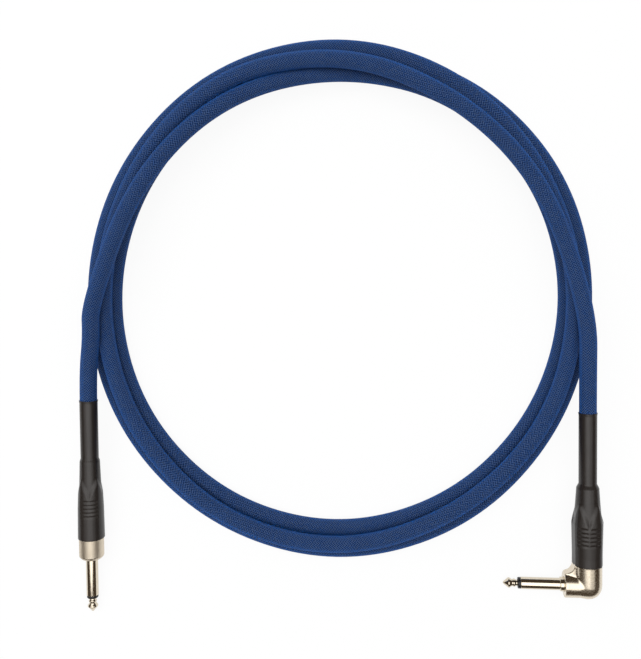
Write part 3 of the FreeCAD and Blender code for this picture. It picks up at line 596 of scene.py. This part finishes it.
def make_skin(name, sleeve, start, end, outside, inside, material, node):
    """A closed tube, spun from a plain section and then drawn in and out, on both its sides."""
    count = int((end - start) / RING_EVERY)
    places = [start + (end - start) * i / count for i in range(count + 1)]
    build = bmesh.new()
    is_outer = build.verts.layers.int.new("outer")
    ring = [build.verts.new((OUTER, 0.0, at)) for at in places]
    for vertex in ring:
        vertex[is_outer] = 1
    ring += [build.verts.new((INNER, 0.0, at)) for at in reversed(places)]
    edges = [build.edges.new(pair) for pair in zip(ring, ring[1:] + ring[:1])]
    bmesh.ops.spin(build, geom=ring + edges, cent=(0, 0, 0), axis=(0, 0, 1), angle=math.tau,
                   steps=SLEEVE_SIDES, use_merge=True)
    for vertex in build.verts:
        angle = math.atan2(vertex.co.y, vertex.co.x)
        far = (outside if vertex[is_outer] else inside)(vertex.co.z, angle)
        vertex.co.x, vertex.co.y = far * math.cos(angle), far * math.sin(angle)
    bmesh.ops.recalc_face_normals(build, faces=build.faces)
    bmesh.ops.transform(build, matrix=Matrix.Scale(MM, 4) @ sleeve["frame"], verts=build.verts)
    mesh = bpy.data.meshes.new(name)
    build.to_mesh(mesh)
    build.free()
    finished(name, mesh, material, stands_for=(node,))


def make_sleeve(kind):
    """The boot's own form, and the sleeve shrunk tightly over it."""
    sleeve = SLEEVES[kind]

    def outside(at, angle):
        return sleeve_radius(sleeve, at, angle)

    def under_skin(at, angle):
        return outside(at, angle) - SKIN

    def boot(at, angle):
        return under_skin(at, angle) - SEATED

    def bore(at, angle):
        return along_line(sleeve["bore"], at)

    make_skin(kind + "_shrunk_sleeve", sleeve, sleeve["mouth"], sleeve["lip"], outside, under_skin,
              SLEEVE_SKIN[kind], kind + "_heat_shrink")
    make_skin(kind + "_moulded_boot", sleeve, sleeve["start"], sleeve["rear"], boot, bore,
              SLOT_FINISHES["boot_rubber"], kind + "_boot")


for kind in SLEEVES:
    make_sleeve(kind)


# How finely a piece is spun, from what angle up a ring on it is rounded, and the distance in
# millimetres within which its points are one.
SPUN_SIDES = 96
SHARP = math.radians(12)
SAME_POINT = 1e-4


def turned(name, section, own_frame, material, node, soften):
    """A piece spun from its section, with each sharp ring of it rounded over."""
    build = bmesh.new()
    ring = [build.verts.new((out, 0.0, along)) for out, along in section]
    edges = [build.edges.new(pair) for pair in zip(ring, ring[1:])]
    if section[0][0] > 0:
        edges.append(build.edges.new((ring[-1], ring[0])))
    bmesh.ops.spin(build, geom=ring + edges, cent=(0, 0, 0), axis=(0, 0, 1), angle=math.tau,
                   steps=SPUN_SIDES, use_merge=True)
    bmesh.ops.remove_doubles(build, verts=build.verts, dist=SAME_POINT)
    bmesh.ops.recalc_face_normals(build, faces=build.faces)
    sharp = [edge for edge in build.edges if len(edge.link_faces) == 2 and edge.calc_face_angle() > SHARP]
    bmesh.ops.bevel(build, geom=sharp, offset=soften, segments=3, profile=0.5, affect="EDGES",
                    material=-1, clamp_overlap=True)
    bmesh.ops.transform(build, matrix=Matrix.Scale(MM, 4) @ own_frame, verts=build.verts)
    mesh = bpy.data.meshes.new(name)
    build.to_mesh(mesh)
    build.free()
    piece = finished(name, mesh, material, stands_for=(node,))
    piece.modifiers.new("even_normals", "WEIGHTED_NORMAL")


RING_BLACK = SLOT_FINISHES["black_plastic"]
for kind, shaft_frame, shaft_section in (("straight", STRAIGHT, STRAIGHT_SHAFT_SECTION),
                                         ("angle", ANGLE_SHAFT, ANGLE_SHAFT_SECTION)):
    turned(kind + "_tip", TIP_SECTION, shaft_frame, POLISHED,
           kind + "_tip_contact", soften=0.35)
    turned(kind + "_black_ring", RING_SECTION, shaft_frame, RING_BLACK,
           kind + "_tip_insulator", soften=0.12)
    turned(kind + "_shaft", shaft_section, shaft_frame, POLISHED,
           kind + "_sleeve", soften=0.2)
turned("straight_shell_turned", SHELL_SECTION, STRAIGHT, SHELL_NICKEL,
       "straight_shell", soften=0.25)
turned("angle_nut_turned", NUT_SECTION, ANGLE_SHAFT, ELBOW_NICKEL,
       "angle_nose_nut", soften=0.2)

# The elbow, whose barrel stands along z and whose nose points along -x: the radii of both, and
# how far each goes from the corner.
BARREL = 7.35
NOSE = 6.8
NOSE_FACE = -12.1
BARREL_TOP = 12.2

# The web in its inner corner: half its thickness at the nose's face, what each millimetre from
# there adds to that, and the round of its free edge.
WEB_HALF = 2.7
WEB_TAPER = 0.25
WEB_ROUND = 5.4
WEB_STEPS = 12

# The bores that stay open, (radius, from, to), along the nose and along the barrel.
NOSE_BORES = ((6.0, -14.0, -10.7), (4.8, -11.0, -9.5), (4.1, -10.0, 0.0))
BARREL_BORE = (5.0, -4.5, 14.0)
BORE_SIDES = 64

# The radius of the ball that the outer corner is part of, and the two places along x between
# which it comes in.
CORNER = 7.4
CORNER_FROM = -5.0
CORNER_TO = -1.0

# The cast surface, with how far from the nose's face and the barrel's top it stays sharp.
VOXEL = 0.22
SMOOTH_SHARE = 0.5
SMOOTHINGS = 8
CAST_SMOOTHINGS = 30
SHARP_AT_NOSE = 1.6
SHARP_AT_TOP = 1.0
MERGED_WITHIN = 1e-6
ALONG_NOSE = turned_by(90, "Y")


def as_object(name, build):
    """The object that a finished bmesh makes."""
    bmesh.ops.recalc_face_normals(build, faces=build.faces)
    mesh = bpy.data.meshes.new(name)
    build.to_mesh(mesh)
    build.free()
    made = bpy.data.objects.new(name, mesh)
    bpy.context.scene.collection.objects.link(made)
    return made


def rod(radius, low, high, own_frame):
    """A round bar, as wide as a bore and as long, that hollows the web."""
    build = bmesh.new()
    bmesh.ops.create_cone(build, cap_ends=True, segments=BORE_SIDES, radius1=radius, radius2=radius,
                          depth=high - low, matrix=own_frame @ placed(Vector((0, 0, (low + high) / 2))))
    return as_object("elbow_hollow", build)


def web_plate():
    """The plate in the elbow's inner corner, whose free edge runs round from the nose to the barrel."""
    middle = Vector((-BARREL - WEB_ROUND, 0, NOSE + WEB_ROUND))
    outline = [Vector((0, 0, 0)), Vector((NOSE_FACE, 0, 0))]
    first = math.asin((NOSE_FACE - middle.x) / WEB_ROUND)
    for step in range(WEB_STEPS + 1):
        angle = first + (math.pi / 2 - first) * step / WEB_STEPS
        outline.append(middle + Vector((math.sin(angle), 0, -math.cos(angle))) * WEB_ROUND)
    outline.append(Vector((0, 0, BARREL_TOP)))
    build = bmesh.new()
    side = build.faces.new([build.verts.new(at - Vector((0, 1, 0))) for at in outline])
    moved = bmesh.ops.extrude_face_region(build, geom=[side], use_keep_orig=True)["geom"]
    far_side = [part for part in moved if isinstance(part, bmesh.types.BMVert)]
    bmesh.ops.translate(build, vec=(0, 2, 0), verts=far_side)
    for vertex in build.verts:
        vertex.co.y *= WEB_HALF + WEB_TAPER * (vertex.co.x - NOSE_FACE)
    return as_object("elbow_web", build)


def make_elbow():
    """The cast elbow: its solid's form, with the web that runs from its nose up to its barrel."""
    web = web_plate()
    cutters = [rod(*bore, ALONG_NOSE) for bore in NOSE_BORES] + [rod(*BARREL_BORE, Matrix())]
    for cutter in cutters:
        cut = web.modifiers.new("hollow", "BOOLEAN")
        cut.operation = "DIFFERENCE"
        cut.object = cutter
    web_mesh = mesh_of(web)
    web_mesh.transform(Matrix.Scale(MM, 4) @ ANGLE)
    for used in (web, *cutters):
        bpy.data.objects.remove(used)
    mesh = frame["nodes"]["angle_elbow_housing"].data.copy()
    build = bmesh.new()
    build.from_mesh(mesh)
    bmesh.ops.remove_doubles(build, verts=build.verts, dist=MERGED_WITHIN)
    build.from_mesh(web_mesh)
    build.to_mesh(mesh)
    build.free()
    rough = bpy.data.objects.new("elbow_rough", mesh)
    bpy.context.scene.collection.objects.link(rough)
    cells = rough.modifiers.new("cells", "REMESH")
    cells.mode = "VOXEL"
    cells.voxel_size = VOXEL * MM
    soft = rough.modifiers.new("soft", "SMOOTH")
    soft.factor = SMOOTH_SHARE
    soft.iterations = SMOOTHINGS
    cast = mesh_of(rough)
    bpy.data.objects.remove(rough)
    build = bmesh.new()
    build.from_mesh(cast)
    into_plug = (Matrix.Scale(MM, 4) @ ANGLE).inverted()
    out_of_plug = into_plug.inverted()
    rounded = []
    for vertex in build.verts:
        at = into_plug @ vertex.co
        if at.z < 0 and at.length > CORNER:
            share = soft_step(CORNER_FROM, CORNER_TO, at.x)
            at *= 1 - share * (1 - CORNER / at.length)
            vertex.co = out_of_plug @ at
        if at.x > NOSE_FACE + SHARP_AT_NOSE and at.z < BARREL_TOP - SHARP_AT_TOP:
            rounded.append(vertex)
    for _ in range(CAST_SMOOTHINGS):
        bmesh.ops.smooth_vert(build, verts=rounded, factor=SMOOTH_SHARE,
                              use_axis_x=True, use_axis_y=True, use_axis_z=True)
    build.to_mesh(cast)
    build.free()
    finished("angle_elbow_cast", cast, ELBOW_NICKEL,
             stands_for=("angle_elbow_housing",))


make_elbow()


slots = {part["node"]: part["material_slot"] for part in frame["record"]["subparts"]}
for name, node in frame["nodes"].items():
    node.data.materials.clear()
    node.data.materials.append(SLOT_FINISHES[slots[name]])

ANGLE_PIECES = [name for name in frame["nodes"] if name.startswith("angle_") and name not in replaced]
ANGLE_PIECES += [piece.name for piece in new_pieces if piece.name.startswith("angle_")]
SLEEVES["straight"]["frame"] @ Vector((0, 0, SLEEVES["straight"]["lip"])) * MM


# The floor's half width in metres, its own grey, and how much of it is plain white where it is
# seen, so that the rest keeps the shadow.
FLOOR_HALF = 3.0
FLOOR_GREY = (0.82, 0.82, 0.82, 1.0)
FLOOR_WHITE = 0.92


def make_floor():
    """A pale floor under the coil."""
    build = bmesh.new()
    bmesh.ops.create_grid(build, x_segments=1, y_segments=1, size=FLOOR_HALF)
    mesh = bpy.data.meshes.new("floor")
    build.to_mesh(mesh)
    build.free()
    floor = bpy.data.objects.new("floor", mesh)
    bpy.context.scene.collection.objects.link(floor)
    finish = Finish("floor", roughness=0.9, base_color=FLOOR_GREY)
    rays = finish.node("ShaderNodeLightPath", output="Is Camera Ray")
    seen = (rays + rays.beside("Is Glossy Ray") + rays.beside("Is Transmission Ray")) * FLOOR_WHITE
    glow = finish.node("ShaderNodeEmission", {}, {"Color": (1, 1, 1, 1), "Strength": 1.0})
    lit = Wire(finish, finish.shader.outputs[0])
    mixed = finish.node("ShaderNodeMixShader", {}, {0: seen, 1: lit, 2: glow})
    output = finish.nodes["Material Output"]
    finish.links.new(mixed.out, output.inputs["Surface"])
    mesh.materials.append(finish.material)


make_floor()

ROOM_LIGHT = rgba(188, 188, 188)
BACKDROP = rgba(249, 249, 249)
DARK_STUDIO = rgba(75, 65, 54)


def make_world():
    """Even light on a white backdrop, and a dark studio round what is glossy."""
    world = bpy.data.worlds.new("world")
    bpy.context.scene.world = world
    room = Tree(world)
    rays = room.node("ShaderNodeLightPath", output="Is Camera Ray")
    lit = room.blend(rays.beside("Is Glossy Ray"), ROOM_LIGHT, DARK_STUDIO)
    seen = room.blend(rays, lit, BACKDROP)
    background = room.nodes["Background"]
    background.inputs["Strength"].default_value = 1.0
    room.links.new(seen.out, background.inputs["Color"])


make_world()


def soft_light(name, at, wide, deep, power, aim, in_gloss=False):
    """A soft box, in metres and watts, which either lights the cable or shows in what is glossy."""
    lamp = bpy.data.lights.new(name, "AREA")
    lamp.shape = "RECTANGLE"
    lamp.size = wide
    lamp.size_y = deep
    lamp.energy = power
    holder = bpy.data.objects.new(name, lamp)
    holder.location = at
    holder.rotation_euler = (Vector(aim) - Vector(at)).to_track_quat("-Z", "Y").to_euler()
    holder.visible_glossy = in_gloss
    holder.visible_diffuse = not in_gloss
    bpy.context.scene.collection.objects.link(holder)


# Two soft boxes light the cable from over it, and two near ones show in its nickel.
soft_light("left_softbox", (-0.7, 0.5, 1.3), 1.2, 1.2, 14.0, (0.0, 0.1, 0.0))
soft_light("top_softbox", (0.3, 0.1, 1.5), 1.5, 1.3, 10.0, (0.0, 0.1, 0.0))
soft_light("near_softbox", (-0.08, -0.08, 0.6), 1.4, 0.65, 3.0, (-0.08, -0.08, 0.0), in_gloss=True)
soft_light("softbox_middle", (-0.06, -0.08, 0.58), 0.5, 0.6, 0.9, (-0.06, -0.08, 0.0), in_gloss=True)

bpy.context.scene.view_settings.view_transform = "Standard"
